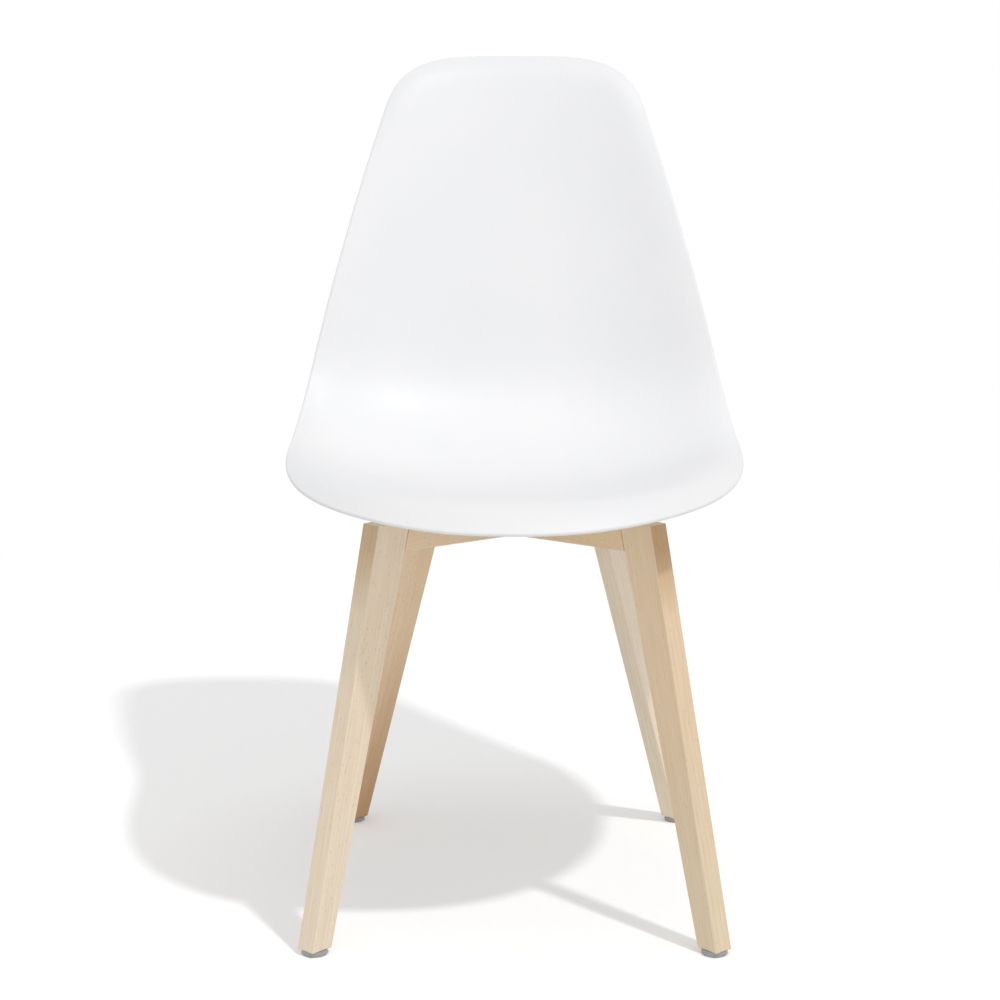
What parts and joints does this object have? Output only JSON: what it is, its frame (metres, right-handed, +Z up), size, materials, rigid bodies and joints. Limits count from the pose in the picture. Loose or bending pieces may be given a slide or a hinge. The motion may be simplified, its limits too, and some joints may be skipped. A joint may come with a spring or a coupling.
{
  "type": "moulded plastic shell chair",
  "caption": "Armless dining chair with a moulded plastic shell for seat and back, bolted to crossed wooden rails on tapered, splayed legs with grey floor glides.",
  "frame": {"origin": "on the floor, under the middle of the chair's box", "axes": "+Z up, -Y the way the sitter faces, +X to the sitter's left"},
  "size_m": [0.4635, 0.5226, 0.8449],
  "materials": {
    "shell_plastic": "white, moulded, satin with a fine texture",
    "beech": "pale beech, planed and clear lacquered",
    "dowel_wood": "beech dowel, unfinished",
    "black_rubber": "matt",
    "brass": "turned",
    "zinc_steel": "zinc plated",
    "grey_plastic": "grey, moulded, matt"
  },
  "bodies": {
    "root": {"seat_shell": "shell_plastic", "cross_rail_lower": "beech", "cross_rail_upper": "beech", "leg_front_right": "beech", "dowels_front_right": "dowel_wood", "spacer_front_right": "black_rubber", "threaded_insert_front_right": "brass", "shell_bolt_front_right": "zinc_steel", "bolt_washer_front_right": "zinc_steel", "glide_front_right": "grey_plastic", "glide_nail_front_right": "zinc_steel", "leg_front_left": "beech", "dowels_front_left": "dowel_wood", "spacer_front_left": "black_rubber", "threaded_insert_front_left": "brass", "shell_bolt_front_left": "zinc_steel", "bolt_washer_front_left": "zinc_steel", "glide_front_left": "grey_plastic", "glide_nail_front_left": "zinc_steel", "leg_rear_right": "beech", "dowels_rear_right": "dowel_wood", "spacer_rear_right": "black_rubber", "threaded_insert_rear_right": "brass", "shell_bolt_rear_right": "zinc_steel", "bolt_washer_rear_right": "zinc_steel", "glide_rear_right": "grey_plastic", "glide_nail_rear_right": "zinc_steel", "leg_rear_left": "beech", "dowels_rear_left": "dowel_wood", "spacer_rear_left": "black_rubber", "threaded_insert_rear_left": "brass", "shell_bolt_rear_left": "zinc_steel", "bolt_washer_rear_left": "zinc_steel", "glide_rear_left": "grey_plastic", "glide_nail_rear_left": "zinc_steel", "lap_screw": "zinc_steel"}
  },
  "joints": []
}
